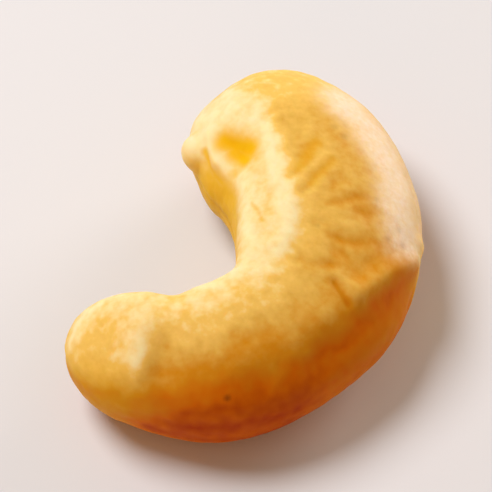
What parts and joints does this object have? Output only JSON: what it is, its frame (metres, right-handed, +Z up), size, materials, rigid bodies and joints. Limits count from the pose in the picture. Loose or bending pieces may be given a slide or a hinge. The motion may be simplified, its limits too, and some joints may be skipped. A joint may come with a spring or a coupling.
{
  "type": "roasted cashew nut",
  "caption": "Whole roasted cashew kernel, strongly curled, with the seam between its halves, the radicle tip and the hollow beside it, lying on its broad side.",
  "frame": {"origin": "on the surface that the kernel lies on, under the middle of its bounding box", "axes": "+Z up, square to the seam's plane; +Y along the kernel's longest extent, from the blunt arm to the arm with the radicle; the curl opens towards -X"},
  "size_m": [0.0212, 0.0248, 0.0095],
  "materials": {
    "roasted_kernel": "satin"
  },
  "bodies": {
    "root": {"cashew_kernel": "roasted_kernel"}
  },
  "joints": []
}
